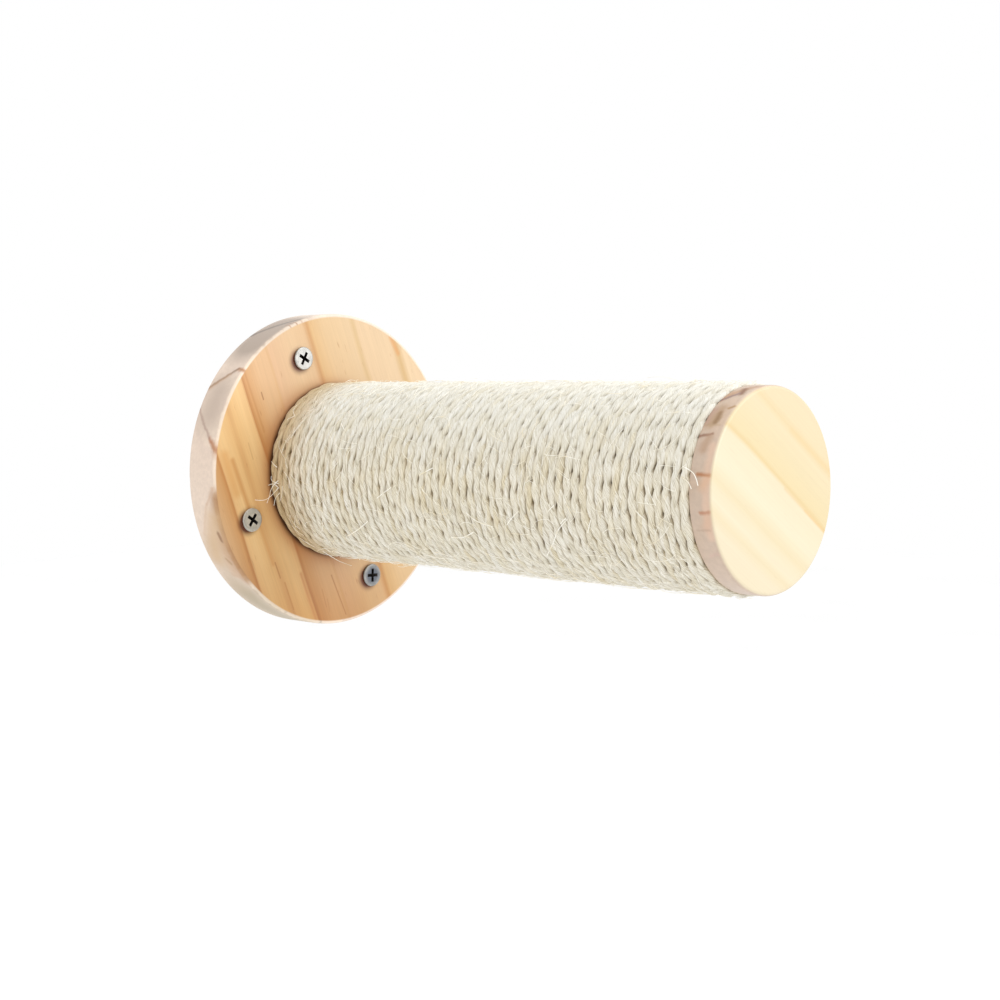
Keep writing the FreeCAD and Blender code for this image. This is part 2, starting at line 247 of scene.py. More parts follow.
# Painted shade darkens the corner between the disc and the first turn of rope, most on the left
face_marks += [
    ((-3.5, -1.0), (-3.5, -1.0), 40.0, 4.0, "b06a38"), ((-1.0, -0.4), (-1.0, -0.4), 38.0, 7.0, "8a5426"),
    ((-0.9, -0.3), (-0.9, -0.3), 35.0, 70.0, "4c2c14"),
]
# Late wood breaks up into amber streaks and thin brown dashes on the heart side
face_marks += [
    ((-54.5, 8), (-49.5, -6), 3.5, 0.45, "c98a42"), ((-51, 6), (-44, -12), 1.8, 0.55, "b97832"),
    ((-39, -19), (-33, -34), 1.5, 0.45, "bd8040"), ((-32, -33.5), (-29.6, -39.5), 0.5, 0.6, "9a6230"),
    ((-27.5, -41.5), (-23.5, -52), 0.6, 0.5, "a5692f"), ((-19.5, -39), (-12.5, -57), 1.3, 0.5, "ad6c38"),
    ((-4.2, -41), (3, -57), 0.5, 0.65, "96602f"), ((-9, -46), (-7, -53), 0.4, 0.45, "9f6a3c"),
    ((-6.5, -50), (-5.3, -55), 0.35, 0.4, "9f6a3c"), ((29.4, 50.9), (33.4, 44.5), 1.8, 0.6, "c98a4c"),
    ((-44.6, 38), (-36, 16), 0.9, 0.35, "b0743c"), ((-36.9, 30.6), (-36.0, 28.0), 0.5, 0.75, "8a5a30"),
    ((-43.5, 12), (-41.5, 6), 0.5, 0.3, "a06a3a"),
]
front = node(tree, "MapRange", {"Value": axes["Y"], "From Min": -10.0, "From Max": -13.0}).outputs["Result"]
marked = drawn(tree, colour, facing, face_marks)
face_colour = node(tree, "Mix", {
    "Factor": front, "A": colour, "B": marked,
}, data_type="RGBA").outputs["Result"]
# The rim is bare end and side grain: dull beige, with late wood creases and the tan edge of a knot
rim_marks = [
    ((57, -8), (74, -8), 16.0, 1.3, "a89788"), ((24, -8), (33, -8), 13.0, 0.9, "bba898"),
    ((-52, -8), (-76, -8), 15.0, 1.0, "aa9a7e"), ((-28, -7), (-46, -6), 10.0, 0.5, "b59f82"),
    # A pale line along the front edge is a painted highlight where the edge break catches the light
    ((-95, -14.9), (80, -14.9), 0.9, 0.4, "f3e3cd"),
    ((-8, -15.8), (-41, -15.8), 6.0, 1.0, "a87c50"), ((-16, -12), (-31, -5.5), 8.0, 0.75, "c9a880"),
    ((-24, -13), (-38, -11), 4.5, 0.5, "bd946a"), ((-4, -14), (-10, -9.5), 1.2, 0.5, "c3a184"),
    ((-10, -9.5), (-22, -3.5), 1.2, 0.4, "c9aa8e"), ((-41, -14), (-40, -9), 1.4, 0.4, "bd9a78"),
    ((-24, -12.8), (-21, -12.2), 1.4, 0.75, "7c522c"), ((-34, -12), (-32, -10.5), 1.2, 0.5, "96703f"),
    ((42.9, -16), (42.9, -12), 1.5, 0.85, "a8703e"), ((42.9, -12), (34.6, -1), 1.2, 0.85, "8f745e"),
    ((40.2, -9), (34.4, -1.5), 2.0, 0.4, "b58c66"), ((9.4, -15.5), (14.5, -11), 1.6, 0.85, "a8683c"),
    ((8.5, -15.5), (12, -14), 2.6, 0.5, "b88a66"), ((14.5, -11), (26.2, 0), 1.0, 0.7, "a58a7c"),
    ((78.5, -13), (62.8, -1), 1.8, 0.85, "75695f"), ((75, -16), (73, -12), 0.7, 0.7, "9a6c48"),
    ((72, -16), (70.5, -13), 0.6, 0.6, "9a6c48"), ((78, -16), (76, -12.5), 0.5, 0.5, "a98468"),
    ((-66, -16), (-62, -3), 1.1, 0.4, "a89a88"), ((-84, -15), (-74, -2), 1.0, 0.5, "8f8474"),
]
surface = rimmed(
    tree, sized, axes, radius=DISC_RADIUS, edge=58.6, face=face_colour, wood=colour, bare="e2d2c4",
    share=0.82, marks=rim_marks,
)
tree.links.new(surface, shader.inputs["Base Color"])
dress("wall_disc", disc_pine)

# Core screws: three zinc plated wood screws driven through the disc's back into the core. Only their heads
# show, just under the surface of the back. The plating is a cloudy, half bright grey.
zinc, tree, shader = blank("zinc plated steel", metallic=0.55, roughness=0.3)
sized, axes, facing = surveyed(tree)
cloud = node(tree, "TexNoise", {"Vector": sized, "Scale": 0.6, "Detail": 3.0}).outputs["Fac"]
tone = node(tree, "ValToRGB", {"Fac": cloud}, stops=[(0.3, "908f8a"), (0.7, "b7b6b1")]).outputs["Color"]
# The wall screws' heads carry painted reflections: one bright, one beige and one slate grey inside
plated = drawn(tree, tone, facing, [
    ((-16.5, 43), (-16.5, 43), 7.0, 0.2, "dcdcda"), ((-43, -16.5), (-43, -16.5), 7.0, 0.8, "d3ccbd"),
    ((16.5, -43), (16.5, -43), 5.8, 1.6, "5f636b"),
])
head = node(tree, "MapRange", {"Value": axes["Y"], "From Min": -12.0, "From Max": -13.0}).outputs["Result"]
tone = node(tree, "Mix", {"Factor": head, "A": tone, "B": plated}, data_type="RGBA").outputs["Result"]
tree.links.new(tone, shader.inputs["Base Color"])
dull = node(tree, "MapRange", {"Value": cloud, "To Min": 0.25, "To Max": 0.5}).outputs["Result"]
tree.links.new(dull, shader.inputs["Roughness"])
dress("core_screws", zinc)

# Post core: a solid pine dowel, turned and sanded, that the rope is wound on. Its grain runs along the peg,
# and only slivers of it show between the turns.
core_rings = [
    (0, "c9955c"), (4, "dab37e"), (5, "c0884f"), (6, "dcb684"), (13, "dab27e"), (14, "bd8850"),
    (15.5, "ddb988"), (24, "d9b07c"), (25, "be8a52"), (26, "dcb786"), (40, "d6ac76"), (60, "d6ac76"),
]
core_pine = pine(
    "sanded pine dowel", turn=(math.radians(90), 0, 0), pith=(12, 7), rings=core_rings,
    drift_mm=2.0, roughness=0.6, flecks=0.3, streaks=0.045,
)[0]
dress("post_core", core_pine)

# Rope: one length of twisted sisal, two plies laid to the right, wound in a single layer of close turns and
# glued. Each turn lies square to the peg and climbs to the next on the far side, and the ends are tucked into
# notches of the core. Sisal is dull and cream, with fine streaks along its fibres and a soft sheen.
CORE_RADIUS = 30.5
ROPE_RADIUS = 1.72
ROPE_LAY = 15.35
WINDING_RADIUS = 32.22
FIRST_TURN = 16.62
LAST_TURN = 207.38
TURNS = 59
CLIMB_MIDDLE = 5.0
CLIMB_SHARE = 0.2
NOTCH_LEAD = 6.33
NOTCH_FLOOR = 26.0
NOTCH_CORNER = 32.42
POINTS_PER_TURN = 24
STATIONS_PER_POINT = 14
PLY_RADIUS = 1.2
PLY_OFFSET = 0.66
PLY_LIFT = 0.3
PLY_SIDES = 12
FIBRE_TURN = 0.075
RIDGES = 8
RIDGE_HEIGHT = 0.08
RIDGE_RUN = 6
RIDGE_SEED = 20
MAP_SHIFT = 37
# How uneven the hand wound rope is: by how much, over how many millimetres of it, and the seed
LAY_DRIFT = ((2.2, 70, 1), (0.7, 22, 3))
PLY_SPREAD = ((0.14, 25, 14),)
SIDE_DRIFT = ((0.16, 35, 5), (0.08, 9, 12))
PLY_SWELL = ((0.1, 9, 6), (0.06, 3, 9))


def round_peg(radius, degrees, distance):
    """Point at a radius and angle round the peg, at a distance out from the wall, from millimetres."""
    angle = math.radians(degrees)
    return Vector((radius * math.cos(angle), -distance, radius * math.sin(angle))) * MM


def climbed(turn):
    """Pitches climbed after turns counted from the middle of the climbing side."""
    middle = round(turn)
    off = turn - middle
    if abs(off) >= CLIMB_SHARE:
        return math.floor(turn)
    return middle - 0.5 + off / CLIMB_SHARE - off * abs(off) / (2 * CLIMB_SHARE**2)


def waver(along, step, seed, around=0.0, bundles=1):
    """Smooth noise from -1 to 1 that changes over a step along the rope and over bundles round a ply."""
    knots = np.random.default_rng(seed).uniform(-1, 1, (int(along.max() / step) + 3, bundles))
    run, turn = along / step, np.mod(around, 1) * bundles
    row, column = np.floor(run).astype(int), np.floor(turn).astype(int) % bundles
    near, beside = run - row, turn - np.floor(turn)
    near, beside = near * near * (3 - 2 * near), beside * beside * (3 - 2 * beside)
    here = knots[row, column] * (1 - beside) + knots[row, (column + 1) % bundles] * beside
    there = knots[row + 1, column] * (1 - beside) + knots[row + 1, (column + 1) % bundles] * beside
    return here * (1 - near) + there * near


def uneven(along, parts, ply=0):
    """The unevenness at each place along the rope."""
    return sum(size * waver(along, step, seed + ply) for size, step, seed in parts)


pitch = (LAST_TURN - FIRST_TURN) / (TURNS - 1)
control_radius = WINDING_RADIUS / math.cos(math.pi / POINTS_PER_TURN)
steps = round((TURNS - 2 * CLIMB_SHARE) * POINTS_PER_TURN)
route_turns = [CLIMB_SHARE + (TURNS - 2 * CLIMB_SHARE) * i / steps for i in range(1, steps)]
start_deg = CLIMB_MIDDLE + 360 * CLIMB_SHARE - NOTCH_LEAD
end_deg = CLIMB_MIDDLE - 360 * CLIMB_SHARE + NOTCH_LEAD
route = [round_peg(NOTCH_FLOOR, start_deg, FIRST_TURN), round_peg(NOTCH_CORNER, start_deg, FIRST_TURN)]
for turn in route_turns:
    distance = FIRST_TURN + pitch * climbed(turn)
    route.append(round_peg(control_radius, CLIMB_MIDDLE + 360 * turn, distance))
route += [round_peg(NOTCH_CORNER, end_deg, LAST_TURN), round_peg(NOTCH_FLOOR, end_deg, LAST_TURN)]

line = bpy.data.curves.new("rope_route", "CURVE")
line.dimensions = "3D"
line.resolution_u = STATIONS_PER_POINT
spline = line.splines.new("NURBS")
spline.points.add(len(route) - 1)
for point, place in zip(spline.points, route):
    point.co = (*place, 1)
spline.order_u = 3
spline.use_endpoint_u = True
holder = bpy.data.objects.new("rope_route", line)
followed = bpy.data.meshes.new_from_object(holder)
stations = np.empty(len(followed.vertices) * 3)
followed.vertices.foreach_get("co", stations)
stations = stations.reshape(-1, 3) / MM
bpy.data.objects.remove(holder)

runs = np.linalg.norm(np.diff(stations, axis=0), axis=1)
along = np.concatenate([[0], np.cumsum(runs)])
forward = np.gradient(stations, axis=0)
forward /= np.linalg.norm(forward, axis=1)[:, None]
over = np.array((0, 1, 0)) - forward * forward[:, 1:2]
over /= np.linalg.norm(over, axis=1)[:, None]
side = np.cross(forward, over)

sisal, tree, shader = blank("twisted sisal", ior=1.45, roughness=0.75, sheen_weight=0.15, sheen_roughness=0.5)
lay_map = node(tree, "UVMap", uv_map="lay").outputs["UV"]
parts = node(tree, "SeparateXYZ", {"Vector": lay_map})
# Fibre bundles of about 0.3 mm by 10 mm, turned a little against the lay
turned = node(tree, "Math", {
    0: parts.outputs["X"], 1: FIBRE_TURN, 2: parts.outputs["Y"],
}, operation="MULTIPLY_ADD")
strand = node(tree, "CombineXYZ", {"X": parts.outputs["X"], "Y": turned.outputs[0]}).outputs["Vector"]
bundle = node(tree, "VectorMath", {0: strand, 1: (1 / 6, 30, 1)}, operation="MULTIPLY").outputs[0]
fibre = node(tree, "TexNoise", {
    "Vector": bundle, "Scale": 1.0, "Detail": 3.0, "Roughness": 0.6,
}).outputs["Fac"]
tone = node(tree, "ValToRGB", {"Fac": fibre}, stops=[(0.25, "948563"), (0.42, "d8d1bc"), (0.58, "fdfaef")])
reach = node(tree, "VectorMath", {0: strand, 1: (1 / 40, 0.7, 1)}, operation="MULTIPLY").outputs[0]
patch = node(tree, "TexNoise", {"Vector": reach, "Scale": 1.0, "Detail": 2.0}).outputs["Fac"]
warmth = node(tree, "ValToRGB", {"Fac": patch}, stops=[(0.28, "f2ead6"), (0.5, "fbf9f3"), (0.7, "ffffff")])
colour = node(tree, "Mix", {
    "Factor": 1.0, "A": tone.outputs["Color"], "B": warmth.outputs["Color"],
}, data_type="RGBA", blend_type="MULTIPLY").outputs["Result"]
place = node(tree, "TexCoord").outputs["Object"]
axes = node(tree, "SeparateXYZ", {"Vector": place}).outputs
out = axes["Y"]
# Painted light evens out the upper side and tints it cooler, and painted shade leaves the under side greyer
height = node(tree, "MapRange", {
    "Value": axes["Z"], "From Min": -34 * MM, "From Max": 34 * MM,
}).outputs["Result"]
top_light_evening = node(tree, "MapRange", {"Value": height, "From Min": 0.55, "To Max": 0.5}).outputs["Result"]
colour = node(tree, "Mix", {
    "Factor": top_light_evening, "A": colour, "B": linear("ebe5d5"),
}, data_type="RGBA").outputs["Result"]
light_and_shade_tint = node(tree, "ValToRGB", {"Fac": height}, stops=[(0.1, "ececee"), (0.5, "f4f3f3"), (0.9, "f2f5fc")])
colour = node(tree, "Mix", {
    "Factor": 1.0, "A": colour, "B": light_and_shade_tint.outputs["Color"],
}, data_type="RGBA", blend_type="MULTIPLY").outputs["Result"]
# The first turns are painted browner as shade in the corner with the disc
corner = node(tree, "MapRange", {
    "Value": out, "From Min": -38 * MM, "From Max": -14 * MM,
}, interpolation_type="SMOOTHSTEP").outputs["Result"]
corner_shade_tint = node(tree, "Mix", {
    "Factor": 1.0, "A": colour, "B": linear("e3cfac"),
}, data_type="RGBA", blend_type="MULTIPLY").outputs["Result"]
colour = node(tree, "Mix", {"Factor": corner, "A": colour, "B": corner_shade_tint}, data_type="RGBA").outputs["Result"]
# Dust and painted shade turn the grooves between plies and turns olive brown, most of all near the wall,
# and least on top, where the light falls into them
upright = node(tree, "VectorMath", {0: place, 1: (1 / MM, 0, 1 / MM)}, operation="MULTIPLY").outputs[0]
reached = node(tree, "VectorMath", {0: upright}, operation="LENGTH").outputs["Value"]
groove_dust_and_shade = node(tree, "MapRange", {
    "Value": out, "From Min": -110 * MM, "From Max": -15 * MM, "To Min": 0.55, "To Max": 1.0,
}).outputs["Result"]
top_light_fade = node(tree, "MapRange", {
    "Value": height, "From Min": 0.5, "From Max": 0.8, "To Min": 1.0, "To Max": 0.15,
}).outputs["Result"]
groove_dust_and_shade = node(tree, "Math", {0: groove_dust_and_shade, 1: top_light_fade}, operation="MULTIPLY").outputs[0]
flank = node(tree, "MapRange", {
    "Value": out, "From Min": -90 * MM, "From Max": -15 * MM, "To Min": 33.15, "To Max": 33.45,
}).outputs["Result"]
groove = node(tree, "MapRange", {
    "Value": reached, "From Min": flank, "From Max": 32.3, "To Max": groove_dust_and_shade,
}).outputs["Result"]
dusty_and_shaded = node(tree, "Mix", {
    "Factor": 1.0, "A": colour, "B": linear("b0955c"),
}, data_type="RGBA", blend_type="MULTIPLY").outputs["Result"]
colour = node(tree, "Mix", {"Factor": groove, "A": colour, "B": dusty_and_shaded}, data_type="RGBA").outputs["Result"]
tree.links.new(colour, shader.inputs["Base Color"])
relief = node(tree, "Bump", {"Height": fibre, "Strength": 0.8, "Distance": 0.2 * MM})
tree.links.new(relief.outputs["Normal"], shader.inputs["Normal"])

angles = np.unwrap(np.arctan2(stations[:, 2], stations[:, 0]))
station_turns = (np.degrees(angles) - CLIMB_MIDDLE) / 360
station_turns -= round(station_turns[len(station_turns) // 2] - TURNS / 2)
stretches = {"rope_near_wall": (-1, 20), "rope_middle": (20, 40), "rope_near_cap": (40, TURNS + 1)}
for ply in (0, 1):
    phase = 2 * np.pi * along / ROPE_LAY + np.pi * ply + uneven(along, LAY_DRIFT)
    spread = (1 + uneven(along, PLY_SPREAD, ply))[:, None]
    sideways = PLY_OFFSET * spread * np.cos(phase)[:, None]
    lifted = PLY_LIFT * spread * np.sin(phase)[:, None]
    centres = stations + sideways * over + lifted * side
    centres[:, 1] += uneven(along, SIDE_DRIFT)
    thickness = 1 + uneven(along, PLY_SWELL, ply)
    for name, (first, last) in stretches.items():
        held = np.flatnonzero((station_turns >= first) & (station_turns <= last))
        low, high = max(held[0] - 1, 0), min(held[-1] + 2, len(along))
        piece_name = f"{name}_ply_{ply + 1}"
        strand_line = bpy.data.curves.new(piece_name, "CURVE")
        strand_line.dimensions = "3D"
        strand_line.bevel_depth = PLY_RADIUS * MM
        strand_line.bevel_resolution = (PLY_SIDES - 4) // 2
        spline = strand_line.splines.new("POLY")
        spline.points.add(high - low - 1)
        weighted = np.column_stack([centres[low:high] * MM, np.ones(high - low)])
        spline.points.foreach_set("co", weighted.ravel())
        spline.points.foreach_set("radius", thickness[low:high])
        holder = bpy.data.objects.new(piece_name, strand_line)
        mesh = bpy.data.meshes.new_from_object(holder)
        mesh.name = piece_name
        bpy.data.objects.remove(holder)
        piece = bpy.data.objects.new(piece_name, mesh)
        bpy.context.collection.objects.link(piece)
        # Bundles of fibres stand out of each ply as low ridges
        corners = np.empty(len(mesh.vertices) * 3)
        mesh.vertices.foreach_get("co", corners)
        corners = corners.reshape(high - low, PLY_SIDES, 3)
        middle = centres[low:high, None, :] * MM
        run = np.repeat(along[low:high, None], PLY_SIDES, axis=1)
        round_ply = np.arange(PLY_SIDES) / PLY_SIDES + run * FIBRE_TURN
        ridge = waver(run, RIDGE_RUN, RIDGE_SEED + ply, round_ply, RIDGES)
        corners = middle + (corners - middle) * (1 + RIDGE_HEIGHT * ridge[:, :, None])
        mesh.vertices.foreach_set("co", corners.ravel())
        # The map follows the ply, in millimetres along it and in turns round it
        ids = np.empty(len(mesh.loops), int)
        mesh.loops.foreach_get("vertex_index", ids)
        rounds = (ids % PLY_SIDES).reshape(-1, 4)
        wraps = np.ptp(rounds, axis=1) > 1
        rounds = np.where(wraps[:, None] & (rounds == 0), PLY_SIDES, rounds) / PLY_SIDES
        lay_uv = np.column_stack([along[low + ids // PLY_SIDES] + MAP_SHIFT * ply, rounds.ravel()])
        layer = mesh.uv_layers.new(name="lay")
        layer.uv.foreach_set("vector", lay_uv.ravel().astype(np.float32))
        body = bmesh.new()
        body.from_mesh(mesh)
        bmesh.ops.holes_fill(body, edges=[e for e in body.edges if e.is_boundary], sides=0)
        bmesh.ops.recalc_face_normals(body, faces=body.faces)
        body.to_mesh(mesh)
        body.free()
        mesh.shade_smooth()
        mesh.materials.append(sisal)
        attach(piece, "root")
        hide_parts(name)

# Loose fibres: single sisal fibres that have worked out of the rope and stand off it or lie across its turns.
# They are pale and straw coloured, and each is thickest where it leaves the rope.
FIBRES = 1100
FIBRE_RADIUS = 0.1
FIBRE_POINTS = 7
FIBRE_FOOT = CORE_RADIUS + 2 * ROPE_RADIUS - 0.25
SHORT_SHARE = 0.8
SHORT_LENGTHS = (3, 9)
LONG_LENGTHS = (9, 16)
LAID_SHARE = 0.93
LIFTS = (0.05, 0.35)
STANDING_LIFT = 2.5
HEADING_DEG = 25
HEADING_SPREAD_DEG = 35
BEND_SPREAD = 0.06
draw = random.Random(4)
fuzz = bpy.data.curves.new("loose_fibres", "CURVE")
fuzz.dimensions = "3D"
fuzz.bevel_depth = FIBRE_RADIUS * MM
fuzz.bevel_resolution = 0
fuzz.use_fill_caps = True
for _ in range(FIBRES):
    length = draw.uniform(*SHORT_LENGTHS) if draw.random() < SHORT_SHARE else draw.uniform(*LONG_LENGTHS)
    lift = draw.uniform(*LIFTS) * (1 if draw.random() < LAID_SHARE else STANDING_LIFT)
    heading = draw.gauss(math.radians(HEADING_DEG), math.radians(HEADING_SPREAD_DEG))
    bend = draw.gauss(0, BEND_SPREAD)
    start = draw.uniform(0, 360)
    distance = draw.uniform(FIRST_TURN + 4, LAST_TURN - 1)
    spline = fuzz.splines.new("POLY")
    spline.points.add(FIBRE_POINTS - 1)
    way = draw.choice((-1, 1))
    for i, point in enumerate(spline.points):
        share = i / (FIBRE_POINTS - 1)
        run = length * share
        turned = heading + bend * run
        radius = FIBRE_FOOT + lift * (1.5 * share + math.sin(math.pi * share))
        degrees = start + way * math.degrees(run * math.cos(turned) / radius)
        sideways = min(max(distance + way * run * math.sin(turned), FIRST_TURN + 2), LAST_TURN + 1)
        point.co = (*round_peg(radius, degrees, sideways), 1)
        point.radius = 1 - 0.5 * share
# Long ones that catch the eye: degrees round the peg, distance and radius of points along each
long_fibres = [
    [(190.9, 73.7, 34.0), (186.5, 78.4, 34.3), (183.9, 81.7, 34.1)],
    [(219.9, 49.5, 34.0), (213.9, 58.1, 34.4), (206.3, 65.6, 34.1)],
    [(164.5, 86.9, 34.0), (167.1, 89.4, 34.2), (169.1, 91.6, 34.0)],
    [(175.9, 95.6, 34.0), (173.3, 99.4, 34.2), (171.3, 102.1, 34.0)],
    [(184.0, 97.0, 34.0), (185.6, 98.1, 34.2), (187.4, 99.2, 34.0)],
    [(145.6, 49.4, 34.0), (147.8, 51.1, 34.2), (149.8, 52.5, 34.0)],
    [(198.8, 158.0, 34.0), (196.6, 159.6, 34.2), (195.0, 161.1, 34.0)],
    [(188.5, 189.8, 34.0), (190.7, 191.4, 34.2), (193.1, 193.0, 34.0)],
    [(196.0, 116.5, 34.0), (199.8, 119.4, 34.2), (202.2, 123.1, 34.2), (203.7, 127.4, 34.0)],
    [(213.2, 105.1, 34.0), (213.4, 108.5, 34.2), (211.8, 112.9, 34.2), (208.2, 117.3, 34.0)],
    [(195.7, 161.5, 34.0), (202.5, 156.0, 34.3), (209.1, 153.6, 34.3), (221.0, 146.4, 34.0)],
    [(188.4, 156.7, 34.0), (190.2, 155.2, 34.2), (192.1, 153.8, 34.0)],
    [(193.2, 140.8, 34.0), (197.2, 137.0, 34.2), (201.7, 134.3, 34.0)],
    [(195.0, 171.3, 34.0), (199.0, 170.0, 34.2), (202.9, 168.7, 34.0)],
    [(192.0, 17.0, 43.5), (193.8, 17.5, 40.3), (193.2, 18.0, 37.6), (190.9, 18.5, 35.0), (188.5, 19.5, 33.6)],
    [(186.2, 17.5, 36.8), (185.5, 18.0, 34.7), (186.9, 18.5, 34.0), (188.5, 19.0, 33.4)],
    [(196.0, 17.0, 38.5), (193.0, 17.5, 37.0), (189.0, 18.0, 36.4), (185.5, 18.5, 34.4), (184.0, 19.5, 33.5)],
    [(199.0, 17.5, 36.0), (196.5, 18.0, 35.6), (194.0, 18.5, 34.9), (192.0, 19.5, 33.5)],
    [(181.0, 18.0, 35.4), (183.0, 18.0, 35.9), (185.0, 18.5, 34.6), (186.0, 19.5, 33.5)],
    [(172.0, 17.5, 35.2), (173.5, 18.0, 34.8), (175.5, 19.0, 33.6)],
    [(244.9, 20.0, 32.9), (252.8, 22.0, 34.3), (257.7, 25.0, 35.9), (260.6, 29.0, 36.6)],
    [(164.5, 207.0, 33.6), (166.5, 210.6, 34.2), (169.5, 212.8, 34.2), (174.0, 213.6, 34.0)],
    [(170.0, 207.0, 33.6), (171.5, 209.4, 34.2), (173.8, 210.8, 34.2), (175.8, 211.2, 34.0)],
]
for course in long_fibres:
    spline = fuzz.splines.new("NURBS")
    spline.points.add(len(course) - 1)
    for point, (degrees, distance, radius) in zip(spline.points, course):
        point.co = (*round_peg(radius, degrees, distance), 1)
        point.radius = 1.7 if radius < 34.5 else 0.9
    spline.order_u = 3
    spline.use_endpoint_u = True
fuzz.resolution_u = 8
holder = bpy.data.objects.new("loose_fibres", fuzz)
mesh = bpy.data.meshes.new_from_object(holder)
mesh.name = "loose_fibres"
bpy.data.objects.remove(holder)
fibres = bpy.data.objects.new("loose_fibres", mesh)
bpy.context.collection.objects.link(fibres)
mesh.shade_smooth()
fibre_sisal, tree, shader = blank("loose sisal fibre", ior=1.45, roughness=0.6)
place = node(tree, "TexCoord").outputs["Object"]
grouped = node(tree, "TexNoise", {"Vector": place, "Scale": 0.25 / MM, "Detail": 1.0}).outputs["Fac"]
tone = node(tree, "ValToRGB", {"Fac": grouped}, stops=[(0.3, "efe4c8"), (0.55, "fdfaf0")]).outputs["Color"]
tree.links.new(tone, shader.inputs["Base Color"])
mesh.materials.clear()
mesh.materials.append(fibre_sisal)
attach(fibres, "root")

# Cap dowels: two plain beech dowels with bevelled ends, glued into the core and the cap, and hidden by them.
# Beech is pinkish brown with short flecks along its grain.
beech, tree, shader = blank("plain beech", ior=1.5, roughness=0.6)
place = node(tree, "TexCoord").outputs["Object"]
fleck = node(tree, "Mapping", {"Vector": place, "Scale": (1 / MM, 0.12 / MM, 1 / MM)}).outputs["Vector"]
grainy = node(tree, "TexNoise", {"Vector": fleck, "Scale": 1.2, "Detail": 3.0}).outputs["Fac"]
tone = node(tree, "ValToRGB", {"Fac": grainy}, stops=[(0.35, "b98d63"), (0.6, "d0a67c")]).outputs["Color"]
tree.links.new(tone, shader.inputs["Base Color"])
dress("cap_dowels", beech)

# End cap: a thin round pine board on the core's free end, from paler wood than the disc, glued on two dowels.
# Its front is clear coated and its rim sanded.
cap_rings = [
    (0, "d2c3a2"), (20, "d3c6aa"), (23, "d1c2a0"), (25.5, "d4c8ac"), (29, "d2c5a6"), (30.5, "d0c19e"),
    (35.5, "d5caae"), (44.8, "d3c6a8"), (46.2, "cdb686"), (47.6, "d0be94"), (54, "d0c09a"), (60, "d1c19e"),
    (62.4, "cfbb92"), (65, "d1c09c"), (75, "d1c09e"),
]
CAP_RADIUS = 32.5
CAP_GRAIN_DEG = 55.2
cap_pine, tree, shader, colour = pine(
    "pale clear coated pine", turn=(0, math.radians(CAP_GRAIN_DEG), 0), pith=(-40, -230), rings=cap_rings,
    drift_mm=3.2, roughness=0.4, flecks=0.06, streaks=0.022,
)
sized, axes, facing = surveyed(tree)
face_colour = drawn(tree, colour, facing, [
    ((-22.6, 25.8), (-21.2, 26.6), 0.9, 0.5, "b98a54"), ((6, 0.2), (29.5, -16.1), 0.9, 0.25, "cfa766"),
    ((17, -7.5), (29.5, -16.1), 0.9, 0.3, "cfa766"), ((10, 18), (32, 3.5), 2.2, 0.3, "d0b27c"),
])
rim_marks = [
    ((16, -215.4), (-12, -215.4), 2.4, 0.55, "dcb89e"), ((34, -214), (20, -214.5), 3.0, 0.35, "d0b49c"),
    ((45.5, -214.8), (34, -208.6), 3.0, 0.8, "ae8460"), ((43, -212.6), (38.4, -214.2), 1.9, 0.95, "7d5029"),
    ((38.4, -213), (34.2, -209.6), 1.4, 0.85, "7f625e"), ((31.2, -216.2), (30.2, -215), 1.1, 0.8, "9c7440"),
    ((30, -212.4), (23.6, -211.6), 3.4, 0.8, "aa8a6a"), ((28, -212.8), (24, -213), 1.6, 0.8, "87673f"),
    ((29, -210), (23.6, -209.4), 2.2, 0.6, "a98574"),
    ((23, -215), (23, -210), 0.8, 0.4, "a88e6c"), ((19.8, -213.8), (18.7, -209.4), 0.9, 0.9, "845c46"),
    ((18.4, -213), (14.6, -212.2), 3.0, 0.75, "ae8d72"), ((6.9, -216.6), (6.6, -212), 1.2, 0.8, "a5642c"),
    ((5.6, -216), (3.4, -214), 3.0, 0.5, "d0a684"), ((-4.4, -216.6), (-4.6, -213), 1.1, 0.8, "ac7454"),
    ((-6, -216), (-9, -214.4), 3.0, 0.5, "cba58a"), ((-10, -215.6), (-10, -211), 0.8, 0.4, "a88f7c"),
    ((-18, -216), (-19, -213), 1.2, 0.3, "c8a296"),
]
surface = rimmed(
    tree, sized, axes, radius=CAP_RADIUS, edge=31.9, face=face_colour, wood=colour, bare="bda595", share=0.8,
    marks=rim_marks,
)
tree.links.new(surface, shader.inputs["Base Color"])
dress("end_cap", cap_pine)

# Wall screws: four zinc plated countersunk screws with cross recesses, driven through the disc from the
# front. Their heads stand a little proud, and their threads stand out of the back, where the wall takes them.
HEAD_TOP = -16.0
HEAD_BOTTOM = -12.0
RECESS_GROWTH = 1.12
RECESS_BACK = -13.75
RECESS_SPAN = 2.5
RECESS_REACH = 2.8
PIN_RADIUS = 1.45
PIN_START = 0.3
THREAD_RADIUS = 2.25
THREAD_ROOT = PIN_RADIUS - 0.1
THREAD_HALF_WIDTH = 0.45
THREAD_PITCH = 1.8
THREAD_START = 0.3
THREAD_END_GAP = 0.4
TIP_START = 15.0
TIP_END = 19.0
TIP_RADIUS = 0.12
TAPER_END = TIP_END + 0.5
STEPS_PER_TURN = 16
axis_places = [round_peg(SCREW_CIRCLE, SCREW_START_DEG + 360 / SCREWS * i, 0) for i in range(SCREWS)]


def off_axis(point):
    """The axis of the nearest screw, and the way from it out to the point."""
    axis = min(axis_places, key=lambda a: (point.x - a.x) ** 2 + (point.z - a.z) ** 2)
    return axis, Vector((point.x - axis.x, 0, point.z - axis.z))


screws = bmesh.new()
screws.from_mesh(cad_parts["wall_screws"].data)
bmesh.ops.remove_doubles(screws, verts=screws.verts, dist=1e-6)
